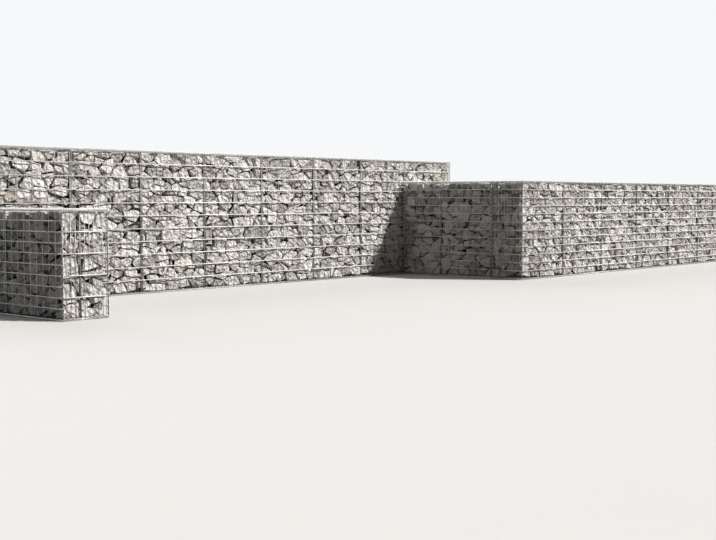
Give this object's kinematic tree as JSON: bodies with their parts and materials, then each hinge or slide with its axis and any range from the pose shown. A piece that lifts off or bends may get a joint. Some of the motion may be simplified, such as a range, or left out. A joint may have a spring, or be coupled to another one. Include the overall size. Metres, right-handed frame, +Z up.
{
  "type": "gabion terrace wall",
  "caption": "Stepped terrace wall of stone-filled welded wire baskets: a long back run, a low side run and a lower return that turns a corner.",
  "frame": {"origin": "middle of the wall's bounding box, at the level base", "axes": "+X along the back run to the right, +Y from the open side to the back run, +Z up"},
  "size_m": [13.825, 2.615, 1.674],
  "materials": {
    "stone": "broken pale limestone, dry and rough",
    "mesh_row_wire": "galvanised wire, weathered to a light satin",
    "mesh_upright_wire": "galvanised wire, weathered to a light satin",
    "binder_wire": "galvanised spiral wire, weathered"
  },
  "bodies": {
    "root": {"back_base_binders": "binder_wire", "back_base_wires": "mesh_row_wire", "back_end_rows": "mesh_row_wire", "back_end_uprights": "mesh_upright_wire", "back_face_rows": "mesh_row_wire", "back_lid_binders": "binder_wire", "back_lid_wires": "mesh_row_wire", "back_mesh_hoops": "mesh_upright_wire", "back_partitions": "mesh_upright_wire", "back_stone_fill": "stone", "back_upright_binders": "binder_wire", "return_base_binders": "binder_wire", "return_base_wires": "mesh_row_wire", "return_end_rows": "mesh_row_wire", "return_end_uprights": "mesh_upright_wire", "return_face_rows": "mesh_row_wire", "return_lid_binders": "binder_wire", "return_lid_wires": "mesh_row_wire", "return_mesh_hoops": "mesh_upright_wire", "return_partitions": "mesh_upright_wire", "return_stone_fill": "stone", "return_upright_binders": "binder_wire", "right_base_binders": "binder_wire", "right_base_wires": "mesh_row_wire", "right_end_rows": "mesh_row_wire", "right_end_uprights": "mesh_upright_wire", "right_face_rows": "mesh_row_wire", "right_lid_binders": "binder_wire", "right_lid_wires": "mesh_row_wire", "right_mesh_hoops": "mesh_upright_wire", "right_partitions": "mesh_upright_wire", "right_stone_fill": "stone", "right_upright_binders": "binder_wire", "side_base_binders": "binder_wire", "side_base_wires": "mesh_row_wire", "side_end_rows": "mesh_row_wire", "side_end_uprights": "mesh_upright_wire", "side_face_rows": "mesh_row_wire", "side_lid_binders": "binder_wire", "side_lid_wires": "mesh_row_wire", "side_mesh_hoops": "mesh_upright_wire", "side_partitions": "mesh_upright_wire", "side_stone_fill": "stone", "side_upright_binders": "binder_wire"}
  },
  "joints": []
}
